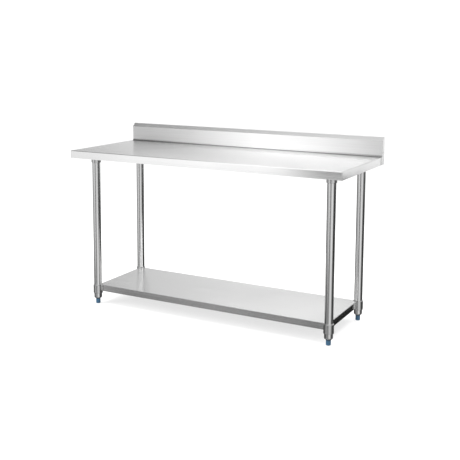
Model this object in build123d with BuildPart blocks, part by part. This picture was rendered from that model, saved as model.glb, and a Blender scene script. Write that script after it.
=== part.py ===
from build123d import *
import os

os.makedirs("parts", exist_ok=True)

# Stainless work table with a raised rear edge, an undershelf and four levelling feet.
# Millimetres. X runs along the table, Y from the front to the wall, Z up.
# The origin is on the floor under the middle of the table.

# ---- Driving dimensions ----
length = 1524.0
depth = 610.0
top_height = 850.0
splash_rise = 100.0
apron_drop = 40.0

# Folded sheet of the worktop
top_sheet = 1.2
fold_radius = 3.0
hem_width = 12.0
splash_thickness = 29.0
cove_radius = 6.0
lip_rise = 18.0
splash_flange = 25.0

# Hat channels under the worktop
channel_web = 80.0
channel_drop = 25.0
channel_flange = 18.0
channel_end_gap = 16.0
weld_stud_radius = 3.0
weld_stud_hole_radius = 3.3
weld_nut_across_flats = 10.0
weld_nut_height = 5.0
weld_stud_tip = 2.0
long_stud_pitch = 350.0
cross_stud_pitch = 210.0

# Legs
leg_radius = 21.0
leg_wall = 1.2
leg_end_inset = 88.0
leg_front_inset = 105.0
leg_back_inset = 88.0
leg_bottom = 38.0
leg_end_chamfer = 0.3

# Sockets and sleeves that slip over the legs
slip_gap = 0.3
sleeve_wall = 3.7
socket_bottom = 780.0
socket_flange_radius = 38.0
socket_flange_thickness = 4.0
socket_straight = 26.0
socket_flare_radius = 30.0
socket_chamfer = 1.0
sleeve_bottom = 58.0
sleeve_top = 106.5
sleeve_rim_chamfer = 2.5
sleeve_foot_chamfer = 1.0

# Undershelf
shelf_top = 104.0
shelf_edge = 34.0
shelf_sheet = 1.0
shelf_fold_radius = 2.0
shelf_hem_width = 10.0
shelf_end_setback = 2.5
shelf_side_setback = 3.0
shelf_channel_web = 60.0
shelf_channel_drop = 20.0
shelf_channel_flange = 15.0
shelf_channel_length = 1240.0

# Set screws
screw_radius = 3.0
screw_length = 5.0
screw_key = 3.0
screw_key_depth = 2.5
socket_screw_height = 790.0
shelf_screw_height = 64.0

# Levelling feet
foot_radius = 12.0
foot_height = 29.0
foot_bottom_round = 3.0
foot_top_chamfer = 0.8
foot_gap = 0.3
ferrule_round = 8.5
ferrule_plug_length = 20.0
ferrule_plug_wall = 1.5
ferrule_plug_gap = 0.1
insert_collar_radius = 8.0
insert_across_flats = 17.0
insert_top = 46.0
stud_radius = 5.0
stud_running_gap = 0.05
stud_top = 72.0
stud_head_radius = 8.0
stud_head_bottom = 6.0
stud_head_height = 4.0
thread_pitch = 1.5
thread_depth = 0.7

# ---- Derived dimensions ----
half_length = length / 2
front_y = -depth / 2
back_y = depth / 2
apron_bottom = top_height - apron_drop
top_underside = top_height - top_sheet
splash_top = top_height + splash_rise
splash_front = back_y - splash_thickness
tray_back = splash_front - 2 * cove_radius
cap_inner_x = half_length - top_sheet

leg_x = half_length - leg_end_inset
leg_front_y = front_y + leg_front_inset
leg_back_y = back_y - leg_back_inset
corners = {
    "front_left": (-leg_x, leg_front_y),
    "front_right": (leg_x, leg_front_y),
    "back_left": (-leg_x, leg_back_y),
    "back_right": (leg_x, leg_back_y),
}

bore_radius = leg_radius + slip_gap
sleeve_radius = bore_radius + sleeve_wall
channel_bottom = top_underside - channel_drop
socket_seat = channel_bottom - socket_flange_thickness
leg_top = socket_seat - slip_gap
shelf_underside = shelf_top - shelf_sheet
shelf_bottom = shelf_top - shelf_edge
ferrule_bottom = foot_height + foot_gap
ferrule_shoulder = leg_radius - ferrule_round
ferrule_shoulder_top = ferrule_bottom + ferrule_round
ferrule_plug_radius = leg_radius - leg_wall - ferrule_plug_gap
ferrule_plug_bore = ferrule_plug_radius - ferrule_plug_wall
ferrule_plug_top = leg_bottom + ferrule_plug_length
ferrule_inner_round = ferrule_plug_bore - ferrule_shoulder
ferrule_floor_top = leg_bottom - ferrule_inner_round


def save(piece, name):
    piece.label = name
    export_step(piece, f"parts/{name}.step")


# ---- Worktop: one sheet folded down on three sides and up at the back ----
tray_depth = tray_back - front_y
tray_middle_y = (tray_back + front_y) / 2
splash_outline = [
    (tray_back, top_height),
    (splash_front, top_height),
    (splash_front, splash_top - lip_rise),
    (splash_front + lip_rise, splash_top),
    (back_y, splash_top),
]
splash_radii = [cove_radius, fold_radius, fold_radius]

with BuildPart() as worktop:
    with BuildSketch(Plane.XY.offset(apron_bottom)):
        with Locations((0, tray_middle_y)):
            Rectangle(length, tray_depth)
    extrude(amount=apron_drop)
    top_folds = worktop.faces().sort_by(Axis.Z)[-1].edges().sort_by(Axis.Y)[:-1]
    front_corners = worktop.edges().filter_by(Axis.Z).group_by(Axis.Y)[0]
    fillet(top_folds + front_corners, fold_radius)
    open_faces = [worktop.faces().sort_by(Axis.Z)[0], worktop.faces().sort_by(Axis.Y)[-1]]
    offset(amount=-top_sheet, openings=open_faces)
    # Hem turned inwards along the foot of the apron
    with BuildSketch(Plane.XY.offset(apron_bottom)) as hem:
        with Locations((0, tray_middle_y)):
            Rectangle(length, tray_depth)
        fillet(hem.vertices().group_by(Axis.Y)[0], fold_radius)
        with Locations((0, tray_middle_y + hem_width)):
            Rectangle(length - 2 * hem_width, tray_depth, mode=Mode.SUBTRACT)
    extrude(amount=top_sheet)
    # Raised rear edge: cove, upright, sloping lip, ledge and a flange turned down at the wall
    with BuildSketch(Plane.YZ.offset(-cap_inner_x)):
        with BuildLine():
            FilletPolyline(
                *splash_outline,
                (back_y, splash_top - splash_flange),
                radius=[*splash_radii, fold_radius],
            )
            offset(amount=top_sheet, side=Side.RIGHT)
        make_face()
    extrude(amount=2 * cap_inner_x)
save(worktop.part, "worktop")


# ---- End caps: plates welded over the two ends of the raised rear edge ----
def splash_end_cap(side):
    """Plate in line with the side apron, with hems at its foot and at its wall edge."""
    plate_x = min(side * half_length, side * cap_inner_x)
    hem_x = side * (cap_inner_x - (hem_width - top_sheet) / 2)
    wall_hem_height = splash_rise + apron_drop - splash_flange - slip_gap
    with BuildPart() as cap:
        with BuildSketch(Plane.YZ.offset(plate_x)):
            with BuildLine():
                outline = FilletPolyline(*splash_outline, radius=splash_radii)
                Polyline(outline @ 1, (back_y, apron_bottom), (tray_back, apron_bottom), outline @ 0)
            make_face()
        extrude(amount=top_sheet)
        with Locations((hem_x, (tray_back + back_y) / 2, apron_bottom + top_sheet / 2)):
            Box(hem_width - top_sheet, back_y - tray_back, top_sheet)
        with Locations((hem_x, back_y - top_sheet / 2, apron_bottom + wall_hem_height / 2)):
            Box(hem_width - top_sheet, top_sheet, wall_hem_height)
    return cap.part


save(splash_end_cap(-1), "splash_end_cap_left")
save(splash_end_cap(1), "splash_end_cap_right")


# ---- Hat channels: folded strips that stiffen the worktop and the undershelf ----
def hat_channel(start, across, along, run, web, drop, flange, sheet, stud_places=()):
    """Hat section hanging from the sheet above, with a clearance hole for each weld stud."""
    with BuildPart() as channel:
        with BuildSketch(Plane(origin=start, x_dir=across, z_dir=along)):
            with BuildLine():
                FilletPolyline(
                    (-web / 2 - flange, 0),
                    (-web / 2, 0),
                    (-web / 2, sheet - drop),
                    (web / 2, sheet - drop),
                    (web / 2, 0),
                    (web / 2 + flange, 0),
                    radius=2 * sheet,
                )
                offset(amount=sheet, side=Side.RIGHT)
            make_face()
        extrude(amount=run)
        if stud_places:
            with Locations(*[(x, y, start[2]) for x, y in stud_places]):
                Cylinder(weld_stud_hole_radius, 3 * sheet, mode=Mode.SUBTRACT)
    return channel.part


flange_line = (channel_web + channel_flange) / 2
channel_half_width = channel_web / 2 + channel_flange
long_channel_half = half_length - hem_width - channel_end_gap
cross_start_y = leg_front_y + channel_half_width + slip_gap
cross_end_y = leg_back_y - channel_half_width - slip_gap
cross_middle_y = (cross_start_y + cross_end_y) / 2
cross_run = cross_end_y - cross_start_y


def stud_grid(middle_y, x_pitch, y_pitch, x_count):
    """Places of two rows of weld studs about (0, middle_y)."""
    grid = GridLocations(x_pitch, y_pitch, x_count, 2)
    return [(place.position.X, place.position.Y + middle_y) for place in grid.locations]


front_studs = stud_grid(leg_front_y, long_stud_pitch, 2 * flange_line, 5)
back_studs = stud_grid(leg_back_y, long_stud_pitch, 2 * flange_line, 5)
cross_studs = stud_grid(cross_middle_y, 2 * flange_line, cross_stud_pitch, 2)
top_channel = (channel_web, channel_drop, channel_flange, top_sheet)

for row, row_y, studs in (("front", leg_front_y, front_studs), ("back", leg_back_y, back_studs)):
    start = (-long_channel_half, row_y, top_underside)
    channel = hat_channel(start, (0, 1, 0), (1, 0, 0), 2 * long_channel_half, *top_channel, studs)
    save(channel, f"channel_{row}")

start = (0, cross_start_y, top_underside)
save(hat_channel(start, (-1, 0, 0), (0, 1, 0), cross_run, *top_channel, cross_studs), "channel_cross")

# ---- Weld studs under the worktop, and the nuts that hold the channels on them ----
nut_seat = top_underside - top_sheet
all_studs = front_studs + back_studs + cross_studs

with BuildPart() as weld_studs:
    with BuildSketch(Plane.XY.offset(top_underside)):
        with Locations(*all_studs):
            Circle(weld_stud_radius)
    extrude(amount=-(top_sheet + weld_nut_height + weld_stud_tip))
save(weld_studs.part, "weld_studs")

with BuildPart() as weld_nuts:
    with BuildSketch(Plane.XY.offset(nut_seat)):
        with Locations(*all_studs):
            RegularPolygon(weld_nut_across_flats / 2, 6, major_radius=False)
            Circle(weld_stud_radius, mode=Mode.SUBTRACT)
    extrude(amount=-weld_nut_height)
save(weld_nuts.part, "weld_nuts")


# ---- Leg sockets, legs, ferrules and threaded inserts ----
def turned(profile, x, y):
    """Solid of revolution about the upright axis at x, y, from a list of radius and height pairs."""
    with BuildPart() as piece:
        with BuildSketch(Plane(origin=(x, y, 0), x_dir=(1, 0, 0), z_dir=(0, -1, 0))):
            with BuildLine():
                Polyline(*profile, close=True)
            make_face()
        revolve(axis=Axis((x, y, 0), (0, 0, 1)))
    return piece.part


def screw_plane(x, y, height):
    """Plane at the leg's axis whose normal runs level, towards the middle of the table."""
    return Plane(origin=(x, y, height), x_dir=(1, 0, 0), z_dir=(0, -1 if y > 0 else 1, 0))


def screw_hole(x, y, height):
    """Solid of the threaded hole through one wall of a socket or sleeve."""
    with BuildPart() as hole:
        with BuildSketch(screw_plane(x, y, height).offset(leg_radius)):
            Circle(screw_radius)
        extrude(amount=2 * sleeve_wall)
    return hole.part


def set_screws(height):
    """One headless screw per corner, its tip level with the bore and its key socket outwards."""
    with BuildPart() as screws:
        for x, y in corners.values():
            with BuildSketch(screw_plane(x, y, height).offset(bore_radius)):
                Circle(screw_radius)
            extrude(amount=screw_length)
            with BuildSketch(screw_plane(x, y, height).offset(bore_radius + screw_length)):
                RegularPolygon(screw_key / 2, 6, major_radius=False)
            extrude(amount=-screw_key_depth, mode=Mode.SUBTRACT)
    return screws.part


def leg_socket(x, y):
    """Cast socket: a straight collar that flares to a round flange under the channel."""
    with BuildPart() as socket:
        with BuildSketch(Plane(origin=(x, y, 0), x_dir=(1, 0, 0), z_dir=(0, -1, 0))):
            with BuildLine():
                collar_top = (sleeve_radius, socket_bottom + socket_straight)
                flange_foot = (socket_flange_radius, socket_seat)
                Polyline(
                    collar_top,
                    (sleeve_radius, socket_bottom + socket_chamfer),
                    (sleeve_radius - socket_chamfer, socket_bottom),
                    (bore_radius, socket_bottom),
                    (bore_radius, socket_seat),
                    (0, socket_seat),
                    (0, channel_bottom),
                    (socket_flange_radius, channel_bottom),
                    flange_foot,
                )
                RadiusArc(flange_foot, collar_top, socket_flare_radius)
            make_face()
        revolve(axis=Axis((x, y, 0), (0, 0, 1)))
        add(screw_hole(x, y, socket_screw_height), mode=Mode.SUBTRACT)
    return socket.part


def leg_ferrule(x, y):
    """Turned end of a leg: a plug inside the tube and a rounded shoulder below it."""
    sole = (ferrule_shoulder, ferrule_bottom)
    shoulder = (leg_radius, ferrule_shoulder_top)
    plug_foot = (ferrule_plug_bore, leg_bottom)
    floor_edge = (ferrule_shoulder, ferrule_floor_top)
    with BuildPart() as ferrule:
        with BuildSketch(Plane(origin=(x, y, 0), x_dir=(1, 0, 0), z_dir=(0, -1, 0))):
            with BuildLine():
                Line((insert_collar_radius, ferrule_bottom), sole)
                RadiusArc(sole, shoulder, -ferrule_round)
                Polyline(
                    shoulder,
                    (leg_radius, leg_bottom),
                    (ferrule_plug_radius, leg_bottom),
                    (ferrule_plug_radius, ferrule_plug_top),
                    (ferrule_plug_bore, ferrule_plug_top),
                    plug_foot,
                )
                RadiusArc(plug_foot, floor_edge, ferrule_inner_round)
                Polyline(
                    floor_edge,
                    (insert_collar_radius, ferrule_floor_top),
                    (insert_collar_radius, ferrule_bottom),
                )
            make_face()
        revolve(axis=Axis((x, y, 0), (0, 0, 1)))
    return ferrule.part


def foot_insert(x, y):
    """Welded nut in the ferrule: a round collar through its floor and a hexagon above."""
    with BuildPart() as insert:
        with BuildSketch(Plane(origin=(x, y, ferrule_bottom))):
            Circle(insert_collar_radius)
        extrude(amount=ferrule_floor_top - ferrule_bottom)
        with BuildSketch(Plane(origin=(x, y, ferrule_floor_top))):
            RegularPolygon(insert_across_flats / 2, 6, major_radius=False)
        extrude(amount=insert_top - ferrule_floor_top)
        with Locations((x, y, insert_top)):
            Hole(stud_radius + stud_running_gap)
    return insert.part


def tube_profile(outer, inner, bottom, top, bottom_chamfer, top_chamfer):
    """Half section of a tube whose outer edges are chamfered."""
    return [
        (inner, bottom),
        (outer - bottom_chamfer, bottom),
        (outer, bottom + bottom_chamfer),
        (outer, top - top_chamfer),
        (outer - top_chamfer, top),
        (inner, top),
    ]


# ---- Levelling feet: a threaded stud with a round head, moulded into a nylon boot ----
def foot_stud(x, y):
    """Stud with thread ridges above the boot and a round head inside it."""
    neck_bottom = stud_head_bottom + stud_head_height
    ridge_count = int((stud_top - foot_height) / thread_pitch) - 1
    root_radius = stud_radius - thread_depth
    ridges = []
    for ridge in range(ridge_count):
        valley = foot_height + ridge * thread_pitch + thread_pitch / 2
        ridges += [(root_radius, valley), (stud_radius, valley + thread_pitch / 2)]
    profile = [
        (0, stud_head_bottom),
        (stud_head_radius, stud_head_bottom),
        (stud_head_radius, neck_bottom),
        (stud_radius, neck_bottom),
        (stud_radius, foot_height),
        *ridges,
        (root_radius, stud_top),
        (0, stud_top),
    ]
    return turned(profile, x, y)


def foot_boot(x, y):
    """Blue nylon foot with a rounded sole and a pocket that holds the stud's head."""
    pocket_bottom = stud_head_bottom - stud_running_gap
    pocket_top = stud_head_bottom + stud_head_height + stud_running_gap
    with BuildPart() as boot:
        with BuildSketch(Plane(origin=(x, y, 0))):
            Circle(foot_radius)
        extrude(amount=foot_height)
        fillet(boot.edges().sort_by(Axis.Z)[0], foot_bottom_round)
        chamfer(boot.edges().sort_by(Axis.Z)[-1], foot_top_chamfer)
        with BuildSketch(Plane(origin=(x, y, pocket_bottom))):
            Circle(stud_head_radius + stud_running_gap)
        extrude(amount=pocket_top - pocket_bottom, mode=Mode.SUBTRACT)
        with BuildSketch(Plane(origin=(x, y, foot_height))):
            Circle(stud_radius + stud_running_gap)
        extrude(amount=-(foot_height - pocket_top), mode=Mode.SUBTRACT)
    return boot.part


leg_bore = leg_radius - leg_wall
leg_profile = tube_profile(leg_radius, leg_bore, leg_bottom, leg_top, leg_end_chamfer, leg_end_chamfer)
sleeve_profile = tube_profile(
    sleeve_radius, bore_radius, sleeve_bottom, sleeve_top, sleeve_foot_chamfer, sleeve_rim_chamfer
)

for corner, (x, y) in corners.items():
    save(leg_socket(x, y), f"leg_socket_{corner}")
    save(turned(leg_profile, x, y), f"leg_{corner}")
    save(leg_ferrule(x, y), f"leg_ferrule_{corner}")
    save(foot_insert(x, y), f"foot_insert_{corner}")
    save(foot_stud(x, y), f"foot_stud_{corner}")
    save(foot_boot(x, y), f"foot_boot_{corner}")
    with BuildPart() as sleeve:
        add(turned(sleeve_profile, x, y))
        add(screw_hole(x, y, shelf_screw_height), mode=Mode.SUBTRACT)
    save(sleeve.part, f"shelf_sleeve_{corner}")

save(set_screws(socket_screw_height), "socket_set_screws")
save(set_screws(shelf_screw_height), "shelf_set_screws")

# ---- Undershelf: a tray turned upside down, notched round the sleeves it is welded to ----
shelf_half_length = leg_x - shelf_end_setback
shelf_front_y = leg_front_y + shelf_side_setback
shelf_back_y = leg_back_y - shelf_side_setback
shelf_middle_y = (shelf_front_y + shelf_back_y) / 2
shelf_depth = shelf_back_y - shelf_front_y

with BuildPart() as shelf_panel:
    with BuildSketch(Plane.XY.offset(shelf_bottom)):
        with Locations((0, shelf_middle_y)):
            Rectangle(2 * shelf_half_length, shelf_depth)
    extrude(amount=shelf_edge)
    fillet(shelf_panel.faces().sort_by(Axis.Z)[-1].edges(), shelf_fold_radius)
    offset(amount=-shelf_sheet, openings=shelf_panel.faces().sort_by(Axis.Z)[0])
    with BuildSketch(Plane.XY.offset(shelf_bottom)):
        with Locations((0, shelf_middle_y)):
            Rectangle(2 * shelf_half_length, shelf_depth)
            shelf_inside = (2 * (shelf_half_length - shelf_hem_width), shelf_depth - 2 * shelf_hem_width)
            Rectangle(*shelf_inside, mode=Mode.SUBTRACT)
    extrude(amount=shelf_sheet)
    with BuildSketch(Plane.XY.offset(shelf_bottom)):
        with Locations(*corners.values()):
            Circle(sleeve_radius)
    extrude(amount=shelf_edge, mode=Mode.SUBTRACT)
save(shelf_panel.part, "shelf_panel")

shelf_channel = hat_channel(
    (-shelf_channel_length / 2, shelf_middle_y, shelf_underside),
    (0, 1, 0),
    (1, 0, 0),
    shelf_channel_length,
    shelf_channel_web,
    shelf_channel_drop,
    shelf_channel_flange,
    shelf_sheet,
)
save(shelf_channel, "shelf_channel")
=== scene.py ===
import math
import random

import bmesh
import bpy
from mathutils import Matrix, Vector


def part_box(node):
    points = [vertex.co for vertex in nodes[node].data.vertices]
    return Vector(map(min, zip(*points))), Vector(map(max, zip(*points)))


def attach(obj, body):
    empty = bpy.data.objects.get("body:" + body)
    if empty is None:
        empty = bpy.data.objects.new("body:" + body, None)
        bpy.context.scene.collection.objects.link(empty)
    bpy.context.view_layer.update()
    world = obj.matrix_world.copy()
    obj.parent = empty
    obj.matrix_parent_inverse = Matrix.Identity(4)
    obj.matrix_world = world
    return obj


# Stainless work table in a pale studio. Metres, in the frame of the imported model.

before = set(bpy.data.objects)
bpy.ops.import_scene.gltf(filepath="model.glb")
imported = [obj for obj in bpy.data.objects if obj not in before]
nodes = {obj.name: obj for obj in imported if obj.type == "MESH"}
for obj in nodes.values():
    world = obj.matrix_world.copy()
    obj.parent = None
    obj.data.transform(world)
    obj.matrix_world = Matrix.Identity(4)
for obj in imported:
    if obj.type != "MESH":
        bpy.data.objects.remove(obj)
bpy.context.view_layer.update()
random.seed(11)

CORNERS = ("front_left", "front_right", "back_left", "back_right")


# ---- Small helpers for node trees ----
def new_material(name):
    """An empty node material and its output node."""
    material = bpy.data.materials.new(name)
    material.use_nodes = True
    tree = material.node_tree
    tree.nodes.clear()
    return material, tree, tree.nodes.new("ShaderNodeOutputMaterial")


def add_node(tree, kind, inputs=None, **settings):
    """A node with its settings, and its input sockets set or linked by name."""
    node = tree.nodes.new(kind)
    for key, value in settings.items():
        setattr(node, key, value)
    for key, value in (inputs or {}).items():
        if isinstance(value, bpy.types.NodeSocket):
            tree.links.new(value, node.inputs[key])
        else:
            node.inputs[key].default_value = value
    return node


def object_coordinates(tree):
    return add_node(tree, "ShaderNodeTexCoord").outputs["Object"]


def noise(tree, vector, stretch, scale=1.0, detail=2.0):
    """Noise in object space, finer along the axes with the larger stretch."""
    placed = add_node(tree, "ShaderNodeMapping", {"Vector": vector, "Scale": stretch})
    settings = {"Vector": placed.outputs[0], "Scale": scale, "Detail": detail, "Roughness": 0.5}
    return add_node(tree, "ShaderNodeTexNoise", settings).outputs["Fac"]


def remap(tree, value, low, high, to_low, to_high):
    """The value moved from one range to another, clamped."""
    settings = {"Value": value, "From Min": low, "From Max": high, "To Min": to_low, "To Max": to_high}
    return add_node(tree, "ShaderNodeMapRange", settings).outputs["Result"]


def maths(tree, operation, first, second=0):
    return add_node(tree, "ShaderNodeMath", {0: first, 1: second}, operation=operation).outputs[0]


def blend_colours(tree, factor, first, second):
    """The first colour at factor 0, the second at factor 1."""
    mix = add_node(tree, "ShaderNodeMix", data_type="RGBA")
    for socket, value in ((0, factor), (6, first), (7, second)):
        if isinstance(value, bpy.types.NodeSocket):
            tree.links.new(value, mix.inputs[socket])
        else:
            mix.inputs[socket].default_value = value
    return mix.outputs[2]


def grey(level):
    return (level, level, level, 1.0)


# ---- Materials ----
NOISE_SPAN = (0.3, 0.7)  # where most of a noise texture's values lie

# Heights and depths on the worktop, which its wear and its painted cove shade follow.
TOP_HEIGHT = 0.85
SPLASH_FACE = 0.276
UPSTAND_BAND = (TOP_HEIGHT + 0.002, TOP_HEIGHT + 0.008)

# Painted shade in the cove, a painted dark reflection: from none to full towards the raised edge, from full
# to none going up, and from its share in the middle to full towards the ends.
COVE_SHADE_DEPTHS = (SPLASH_FACE - 0.045, SPLASH_FACE - 0.004)
COVE_SHADE_HEIGHTS = (TOP_HEIGHT + 0.004, TOP_HEIGHT + 0.011)
COVE_SHADE_LENGTHS = (0.15, 0.60)
COVE_SHADE_MIDDLE = 0.35
COVE_SHADE_FAINTEST = 0.75
COVE_SHADE_GREY = 0.12

# Brushing: broad streaks and finer hairs along one axis, with rare deeper scratches.
STREAK_SCALE_ALONG = 1.2
STREAK_SCALE_ACROSS = 320
STREAK_SHARE, HAIR_SHARE = 0.6, 0.4
HAIR_FINENESS = 3
SCRATCH_COARSENESS = 4
SCRATCH_BAND = (0.76, 0.80)
SCRATCH_ROUGHNESS = 0.10
SMUDGE_BAND = (0.35, 0.7)
UPWARD_BAND = (0.6, 0.9)  # how far a face points up, as the height of its normal
SIDEWAYS = 0.8  # a face whose normal leans this far along X is an end of the piece

NYLON_DARK = (0.020, 0.072, 0.135, 1)
NYLON_LIGHT = (0.032, 0.105, 0.185, 1)
NYLON_FERRULE_SHADE = (0.012, 0.028, 0.045, 1)
NYLON_SCUFF = (0.16, 0.20, 0.25, 1)
NYLON_ROUGHNESS = (0.38, 0.52)
SCUFF_HEIGHTS, SCUFF_AMOUNT = (0.0, 0.006), 0.35
# Painted shade: the top of each boot is darkened where the leg's ferrule above it casts shade.
FERRULE_SHADE_HEIGHTS, FERRULE_SHADE_AMOUNT = (0.021, 0.027), 0.75


def painted_cove_shade(tree, place, clouds, amount):
    """How much a painted dark reflection darkens the cove: most at its ends, least in the middle."""
    parts = add_node(tree, "ShaderNodeSeparateXYZ", {0: place})
    behind = remap(tree, parts.outputs["Y"], *COVE_SHADE_DEPTHS, 0, 1)
    low = remap(tree, parts.outputs["Z"], *COVE_SHADE_HEIGHTS, 1, 0)
    off_centre = maths(tree, "ABSOLUTE", parts.outputs["X"])
    ends = remap(tree, off_centre, *COVE_SHADE_LENGTHS, COVE_SHADE_MIDDLE, 1)
    patchy = remap(tree, clouds, *NOISE_SPAN, COVE_SHADE_FAINTEST * amount, amount)
    in_cove = maths(tree, "MULTIPLY", behind, low)
    return maths(tree, "MULTIPLY", in_cove, maths(tree, "MULTIPLY", ends, patchy))


def brushed_steel(
    name, light, dark, roughness, grain, grain_axis,
    smudges=0.03, wear=0.0, upstand_wear=0.0, comb=0.95, cove_shade=0.0,
):
    """Brushed stainless: fine streaks along one axis, slow changes of sheen, and a few long scratches.

    grain is how much the streaks change the roughness, and comb how far they stretch a reflection. smudges,
    wear and upstand_wear add roughness in patches, on faces that point up and on the raised edge. The last
    setting paints a dark reflection into the cove, as painted shade.
    """
    material, tree, output = new_material(name)
    place = object_coordinates(tree)
    along = tuple(STREAK_SCALE_ALONG if axis == grain_axis else STREAK_SCALE_ACROSS for axis in "XYZ")
    finer = tuple(scale * HAIR_FINENESS for scale in along)
    streaks = noise(tree, place, along, detail=3)
    hairs = noise(tree, place, finer, detail=1)
    clouds = noise(tree, place, (3, 3, 3), detail=3)
    scratch_path = tuple(scale / SCRATCH_COARSENESS for scale in along)
    scratches = remap(tree, noise(tree, place, scratch_path, scale=2.3, detail=0), *SCRATCH_BAND, 0, 1)
    broad = maths(tree, "MULTIPLY", streaks, STREAK_SHARE)
    brushed = maths(tree, "ADD", broad, maths(tree, "MULTIPLY", hairs, HAIR_SHARE))
    colour = blend_colours(tree, remap(tree, brushed, *NOISE_SPAN, 0, 1), dark, light)
    # Painted shade: a dark reflection painted into the cove under the raised edge.
    if cove_shade:
        colour = blend_colours(tree, painted_cove_shade(tree, place, clouds, cove_shade), colour, grey(COVE_SHADE_GREY))

    streaky = remap(tree, brushed, *NOISE_SPAN, -grain, grain)
    sheen = maths(tree, "ADD", streaky, remap(tree, clouds, *SMUDGE_BAND, 0, smudges))
    normal = add_node(tree, "ShaderNodeNewGeometry").outputs["Normal"]
    facing = add_node(tree, "ShaderNodeSeparateXYZ", {0: normal})
    height = add_node(tree, "ShaderNodeSeparateXYZ", {0: place}).outputs["Z"]
    flat_wear = remap(tree, facing.outputs["Z"], *UPWARD_BAND, 0, wear)
    wiped = maths(tree, "ADD", flat_wear, remap(tree, height, *UPSTAND_BAND, 0, upstand_wear))
    scored = maths(tree, "MULTIPLY", scratches, SCRATCH_ROUGHNESS)
    rough = maths(tree, "ADD", maths(tree, "ADD", maths(tree, "ADD", sheen, wiped), scored), roughness)

    bump = add_node(tree, "ShaderNodeBump", {"Height": brushed, "Strength": 0.12, "Distance": 0.0004})
    backward = 0
    if grain_axis == "X":
        endwise = maths(tree, "GREATER_THAN", maths(tree, "ABSOLUTE", facing.outputs["X"]), SIDEWAYS)
        backward = maths(tree, "SUBTRACT", 1, endwise)
    tangent = add_node(tree, "ShaderNodeCombineXYZ", {"X": 0, "Y": backward, "Z": 1})
    shader = add_node(tree, "ShaderNodeBsdfPrincipled", {
        "Base Color": colour,
        "Metallic": 1.0,
        "Roughness": rough,
        "Anisotropic": comb,
        "Normal": bump.outputs[0],
        "Tangent": tangent.outputs[0],
    })
    tree.links.new(shader.outputs[0], output.inputs["Surface"])
    return material


def blue_nylon(name):
    """Moulded nylon: a mottled blue with fine pores, scuffed at the floor, and with painted shade at its top
    under the leg.
    """
    material, tree, output = new_material(name)
    place = object_coordinates(tree)
    mottle = noise(tree, place, (180, 180, 180), detail=4)
    pores = noise(tree, place, (1400, 1400, 1400), detail=2)
    height = add_node(tree, "ShaderNodeSeparateXYZ", {0: place}).outputs["Z"]
    colour = blend_colours(tree, remap(tree, mottle, *NOISE_SPAN, 0, 1), NYLON_DARK, NYLON_LIGHT)
    # Painted shade: the top of the boot is darkened where the ferrule above it casts shade.
    ferrule_shade = remap(tree, height, *FERRULE_SHADE_HEIGHTS, 0, FERRULE_SHADE_AMOUNT)
    shaded = blend_colours(tree, ferrule_shade, colour, NYLON_FERRULE_SHADE)
    scuff = remap(tree, height, *SCUFF_HEIGHTS, SCUFF_AMOUNT, 0)
    worn = blend_colours(tree, scuff, shaded, NYLON_SCUFF)
    rough = remap(tree, mottle, *NOISE_SPAN, *NYLON_ROUGHNESS)
    bump = add_node(tree, "ShaderNodeBump", {"Height": pores, "Strength": 0.15, "Distance": 0.0002})
    shader = add_node(tree, "ShaderNodeBsdfPrincipled", {
        "Base Color": worn,
        "Roughness": rough,
        "IOR": 1.53,
        "Normal": bump.outputs[0],
    })
    tree.links.new(shader.outputs[0], output.inputs["Surface"])
    return material


def paint(material, names):
    for name in names:
        nodes[name].data.materials.clear()
        nodes[name].data.materials.append(material)


def corner_names(stem):
    return [f"{stem}_{corner}" for corner in CORNERS]


paint(
    brushed_steel(
        "worktop_steel", grey(0.80), grey(0.73), 0.06, 0.015, "X",
        # The last setting paints a dark reflection into the cove under the raised edge.
        wear=0.11, upstand_wear=0.24, comb=1.0, cove_shade=0.75,
    ),
    ["worktop"],
)
paint(
    brushed_steel("end_cap_steel", grey(0.78), grey(0.70), 0.12, 0.02, "Y"),
    ["splash_end_cap_left", "splash_end_cap_right"],
)
paint(brushed_steel("shelf_steel", grey(0.62), grey(0.56), 0.10, 0.02, "X", wear=0.06), ["shelf_panel"])
paint(brushed_steel("tube_steel", grey(0.69), grey(0.63), 0.08, 0.015, "Z"), corner_names("leg"))
paint(
    brushed_steel("fitting_steel", grey(0.62), grey(0.55), 0.13, 0.03, "Z"),
    corner_names("leg_socket") + corner_names("shelf_sleeve") + corner_names("leg_ferrule"),
)
paint(
    brushed_steel("channel_steel", grey(0.52), grey(0.42), 0.42, 0.06, "X", smudges=0.12),
    ["channel_front", "channel_back", "channel_cross", "shelf_channel"],
)
paint(
    brushed_steel("zinc_steel", grey(0.62), grey(0.50), 0.32, 0.05, "Z"),
    ["weld_studs", "weld_nuts", "socket_set_screws", "shelf_set_screws"]
    + corner_names("foot_insert") + corner_names("foot_stud"),
)
paint(blue_nylon("foot_nylon"), corner_names("foot_boot"))


# ---- Weld beads where the undershelf meets its sleeves ----
BEAD_RADIUS = 0.0012
BEAD_OFFSET = BEAD_RADIUS * 0.4  # from the sleeve's side to the middle of the bead
RIPPLE_LENGTH = 0.0026
RIPPLE_STEPS = 4
RIPPLE_HEIGHT = 0.18  # as a share of the bead's radius, and so is the unevenness
RIPPLE_UNEVENNESS = 0.05


def swept_tube(bead, path, radii, sides=8):
    """Adds a round tube along the path to the mesh, with its own radius at each point and closed ends."""
    side = (path[1] - path[0]).orthogonal().normalized()
    rings = []
    for index, point in enumerate(path):
        ahead = (path[min(index + 1, len(path) - 1)] - path[max(index - 1, 0)]).normalized()
        side = (side - ahead * side.dot(ahead)).normalized()
        across = ahead.cross(side)
        ring = []
        for step in range(sides):
            turn = 2 * math.pi * step / sides
            offset = (side * math.cos(turn) + across * math.sin(turn)) * radii[index]
            ring.append(bead.verts.new(point + offset))
        rings.append(ring)
    for lower, upper in zip(rings, rings[1:]):
        for step in range(sides):
            after = (step + 1) % sides
            bead.faces.new((lower[step], lower[after], upper[after], upper[step]))
    bead.faces.new(reversed(rings[0]))
    bead.faces.new(rings[-1])


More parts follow.
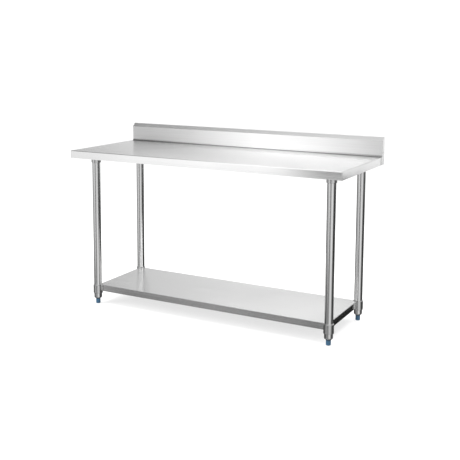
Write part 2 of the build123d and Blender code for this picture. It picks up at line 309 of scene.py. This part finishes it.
def weld_path(corner):
    """Up the shelf's edge, round the sleeve on top of the shelf, and down the other edge, in even steps."""
    low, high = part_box(f"shelf_sleeve_{corner}")
    shelf_low, shelf_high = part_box("shelf_panel")
    centre = (low + high) / 2
    radius = (high.x - low.x) / 2
    reach = radius + BEAD_OFFSET
    inward_x = -math.copysign(1, centre.x)
    inward_y = 1 if "front" in corner else -1
    end_gap = abs(centre.x) - shelf_high.x
    side_gap = shelf_low.y - centre.y if "front" in corner else centre.y - shelf_high.y
    start, stop = math.asin(side_gap / radius), math.acos(end_gap / radius)
    sweep = stop - start
    drop = shelf_high.z - shelf_low.z
    step = RIPPLE_LENGTH / RIPPLE_STEPS
    arc_steps = round(sweep * radius / step)
    drop_steps = round(drop / step)

    def on_sleeve(angle, height):
        x = centre.x + inward_x * reach * math.cos(angle)
        y = centre.y + inward_y * reach * math.sin(angle)
        return Vector((x, y, height))

    heights = [shelf_low.z + drop * index / drop_steps for index in range(drop_steps)]
    rise = [on_sleeve(start, height) for height in heights]
    arc = [on_sleeve(start + sweep * index / arc_steps, shelf_high.z) for index in range(arc_steps + 1)]
    fall = [on_sleeve(stop, height) for height in reversed(heights)]
    return rise + arc + fall


def weld_beads():
    """A rippled bead along the joint between the shelf and each sleeve."""
    for corner in CORNERS:
        path = weld_path(corner)
        ripple = []
        for index in range(len(path)):
            swell = RIPPLE_HEIGHT * abs(math.sin(math.pi * index / RIPPLE_STEPS))
            ripple.append(1 + swell + random.uniform(-RIPPLE_UNEVENNESS, RIPPLE_UNEVENNESS))
        bead = bmesh.new()
        swept_tube(bead, path, [BEAD_RADIUS * scale for scale in ripple])
        mesh = bpy.data.meshes.new(f"shelf_weld_{corner}")
        bead.to_mesh(mesh)
        bead.free()
        for face in mesh.polygons:
            face.use_smooth = True
        mesh.materials.append(weld_steel)
        piece = bpy.data.objects.new(f"shelf_weld_{corner}", mesh)
        bpy.context.scene.collection.objects.link(piece)
        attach(piece, "undershelf")


weld_steel = brushed_steel("weld_steel", grey(0.60), grey(0.48), 0.26, 0.06, "Z", smudges=0.1)
weld_beads()


# ---- Studio ----
# The room as polished steel mirrors it: brightness by compass angle, at rising heights.
# 0 degrees lies straight in front of the table and 90 degrees to its right.
UNDERFOOT = [
    (0, 0.35), (45, 0.5), (90, 0.2), (120, 0.15), (135, 0.25), (150, 0.1), (200, 0.0), (250, 0.0), (290, 0.2),
    (315, 0.4),
]
NEAR_FLOOR = [
    (0, 0.3), (18, 0.6), (36, 0.95), (50, 1.1), (64, 0.75), (76, 0.4), (98, 0.1), (110, 0.0), (126, 0.0),
    (131, 0.28), (140, 0.28), (146, 0.03), (200, 0.0), (250, 0.0), (262, 0.04), (294, 0.07), (308, 0.1),
    (318, 0.3), (320.5, 0.5), (323, 0.2), (328, 0.24), (332, 0.27), (337, 0.22), (345, 0.24),
]
FLOOR = [
    (0, 0.12), (5, 0.2), (12, 0.6), (24, 0.75), (36, 1.05), (52, 1.2), (64, 0.9), (73, 0.55), (82, 0.2),
    (89, 0.02), (110, 0.0), (126, 0.0), (131, 0.28), (140, 0.28), (146, 0.03), (200, 0.0), (248, 0.0),
    (258, 0.15), (272, 0.55), (298, 0.45), (310, 0.7), (324, 0.85), (337, 0.95), (347, 0.85), (352, 0.45),
    (355, 0.12),
]
HORIZON = [
    (0, 0.5), (45, 0.9), (80, 0.5), (100, 0.2), (146, 0.2), (151, 1.15), (163, 1.15), (168, 0.05), (225, 0.0),
    (255, 0.2), (270, 0.6), (308, 0.8), (319, 1.05), (321, 1.05), (323, 1.15), (326, 1.3), (328, 1.3),
    (330, 1.4), (335.5, 1.4), (337, 0.8), (338.5, 0.15), (341, 0.2), (346, 0.4),
]
LOW_WALLS = [
    (0, 0.75), (12, 0.75), (17, 1.7), (25, 1.7), (31, 0.85), (55, 0.85), (61, 1.8), (78, 1.8), (84, 0.6),
    (100, 0.5), (184, 0.5), (190, 0.9), (198, 1.0), (204, 1.3), (212, 1.1), (219, 0.85), (228, 0.5),
    (276, 0.5), (305, 0.6), (312, 0.9), (325, 0.9), (328, 1.2), (330.5, 1.7), (330.8, 2.7), (336, 2.5),
    (339.3, 1.9), (342, 0.9), (346, 0.7),
]
WALLS = [
    (0, 3.0), (23, 3.0), (30, 1.2), (36, 1.0), (52, 1.0), (57, 1.4), (61, 3.0), (80, 3.0), (88, 1.2),
    (165, 1.2), (184, 0.6), (190, 0.7), (200, 0.78), (208, 0.8), (214, 0.85), (225, 0.7), (240, 0.8),
    (250, 1.2), (310, 1.2), (318, 0.4), (324, 0.4), (328, 1.2), (330.6, 1.6), (330.8, 2.7), (335.5, 2.7),
    (339.3, 1.9), (343, 0.8), (348, 0.7), (354, 3.0),
]
CEILING = [
    (0, 0.8), (45, 0.7), (135, 0.6), (190, 0.6), (195, 1.3), (203, 2.8), (212, 2.8), (220, 1.0), (226, 0.1),
    (256, 0.1), (264, 0.7), (278, 0.7), (284, 0.1), (322, 0.1), (329, 1.5), (336, 1.2), (341, 0.5),
    (346, 0.5),
]
UPPER_CEILING = 0.8
OVERHEAD = 1.25

# Each ring gives way to the next in one of these bands of height, the sine of the angle above level.
RING_BANDS = [
    (-0.38, -0.35), (-0.27, -0.25), (-0.16, -0.15), (-0.01, 0.03), (0.17, 0.2), (0.41, 0.46), (0.76, 0.84),
    (0.94, 0.97),
]

WHITE_STRENGTH = 1.3
FLOOR_RADIUS = 60
FLOOR_GLOW = 0.7  # the share of the floor's look that is even light and takes no shadow

CAMERA_PLACE = (2.021, -3.743, 1.398)
CAMERA_YAW, CAMERA_PITCH, CAMERA_ROLL = 27.96, 7.39, 0.33
CAMERA_LENS = 64.53
CAMERA_SHIFT = -0.165
LIGHT_TARGET = (0, 0, 0.6)


def compass(tree, direction):
    """Angle of a direction about the upright axis, from 0 to 1, and its separate coordinates."""
    parts = add_node(tree, "ShaderNodeSeparateXYZ", {0: direction})
    turn = maths(tree, "ARCTAN2", parts.outputs["X"], maths(tree, "MULTIPLY", parts.outputs["Y"], -1))
    return maths(tree, "FRACT", maths(tree, "DIVIDE", turn, 2 * math.pi)), parts


def levels_ramp(tree, value, levels):
    """A grey colour ramp through the given levels, placed from 0 to 1."""
    ramp = add_node(tree, "ShaderNodeValToRGB", {0: value})
    elements = ramp.color_ramp.elements
    elements[0].position, elements[1].position = levels[0][0], levels[-1][0]
    elements[0].color, elements[1].color = grey(levels[0][1]), grey(levels[-1][1])
    for place, level in levels[1:-1]:
        elements.new(place).color = grey(level)
    return ramp.outputs["Color"]


def ring_of_light(tree, angle, levels):
    """A colour ramp round the compass that closes on its first level."""
    closed = levels + [(360, levels[0][1])]
    return levels_ramp(tree, angle, [(degrees / 360, level) for degrees, level in closed])


def studio_floor():
    """A pale floor with faint shadows, left out of reflections so that steel mirrors the room instead."""
    bpy.ops.mesh.primitive_circle_add(vertices=96, radius=FLOOR_RADIUS, fill_type="NGON", location=(0, 0, 0))
    floor = bpy.context.object
    floor.name = "studio_floor"
    material, tree, output = new_material("floor_paint")
    mottle = noise(tree, object_coordinates(tree), (1.5, 1.5, 1.5), detail=3)
    tone = remap(tree, mottle, *NOISE_SPAN, 0.90, 0.94)
    painted = add_node(tree, "ShaderNodeBsdfDiffuse", {"Color": tone}).outputs[0]
    lit = add_node(tree, "ShaderNodeEmission", {"Color": grey(1.0), "Strength": 1.0}).outputs[0]
    pale = add_node(tree, "ShaderNodeMixShader", {0: FLOOR_GLOW, 1: painted, 2: lit}).outputs[0]
    clear = add_node(tree, "ShaderNodeBsdfTransparent").outputs[0]
    path = add_node(tree, "ShaderNodeLightPath").outputs["Is Glossy Ray"]
    chosen = add_node(tree, "ShaderNodeMixShader", {0: path, 1: pale, 2: clear})
    tree.links.new(chosen.outputs[0], output.inputs["Surface"])
    material.cycles.emission_sampling = "NONE"
    floor.data.materials.append(material)


def area_light(name, place, size, power):
    """A soft box that points at the table, and is seen neither directly nor in reflections."""
    data = bpy.data.lights.new(name, "AREA")
    data.shape = "RECTANGLE"
    data.size, data.size_y = size
    data.energy = power
    light = bpy.data.objects.new(name, data)
    bpy.context.scene.collection.objects.link(light)
    light.location = place
    light.rotation_euler = (Vector(LIGHT_TARGET) - Vector(place)).to_track_quat("-Z", "Y").to_euler()
    light.visible_camera = False
    light.visible_glossy = False


def studio_world():
    """Plain white light all round. In reflections it shows the room's lighter and darker walls."""
    world = bpy.data.worlds.new("studio")
    bpy.context.scene.world = world
    world.use_nodes = True
    world.cycles.sampling_method = "NONE"
    tree = world.node_tree
    tree.nodes.clear()
    output = tree.nodes.new("ShaderNodeOutputWorld")
    angle, parts = compass(tree, add_node(tree, "ShaderNodeTexCoord").outputs["Generated"])
    height = parts.outputs["Z"]
    room = ring_of_light(tree, angle, UNDERFOOT)
    above = (NEAR_FLOOR, FLOOR, HORIZON, LOW_WALLS, WALLS, CEILING)
    rings = [ring_of_light(tree, angle, levels) for levels in above] + [grey(UPPER_CEILING), grey(OVERHEAD)]
    for band, ring in zip(RING_BANDS, rings):
        room = blend_colours(tree, remap(tree, height, *band, 0, 1), room, ring)
    walls = add_node(tree, "ShaderNodeBackground", {"Color": room, "Strength": 1.0})
    white = add_node(tree, "ShaderNodeBackground", {"Color": grey(1.0), "Strength": WHITE_STRENGTH})
    path = add_node(tree, "ShaderNodeLightPath").outputs["Is Glossy Ray"]
    mix = add_node(tree, "ShaderNodeMixShader", {0: path, 1: white.outputs[0], 2: walls.outputs[0]})
    tree.links.new(mix.outputs[0], output.inputs["Surface"])


def studio_camera():
    """The photographer's place: at the front right, about half a metre above the worktop."""
    data = bpy.data.cameras.new("camera")
    data.sensor_width = 36
    data.lens = CAMERA_LENS
    data.shift_y = CAMERA_SHIFT
    camera = bpy.data.objects.new("camera", data)
    bpy.context.scene.collection.objects.link(camera)
    yaw, pitch, roll = math.radians(CAMERA_YAW), math.radians(CAMERA_PITCH), math.radians(CAMERA_ROLL)
    forward = Vector((-math.sin(yaw) * math.cos(pitch), math.cos(yaw) * math.cos(pitch), -math.sin(pitch)))
    right = Vector((math.cos(yaw), math.sin(yaw), 0))
    up = right.cross(forward)
    across = right * math.cos(roll) + up * math.sin(roll)
    upright = up * math.cos(roll) - right * math.sin(roll)
    aim = Matrix((across, upright, -forward)).transposed().to_4x4()
    camera.matrix_world = Matrix.Translation(CAMERA_PLACE) @ aim
    bpy.context.scene.camera = camera


studio_floor()
studio_world()
studio_camera()
area_light("overhead_softbox", place=(0, 0.2, 3.2), size=(4.5, 3.0), power=260)
area_light("front_left_softbox", place=(-3.4, -3.0, 2.2), size=(2.4, 2.4), power=160)
bpy.context.scene.view_settings.view_transform = "Standard"
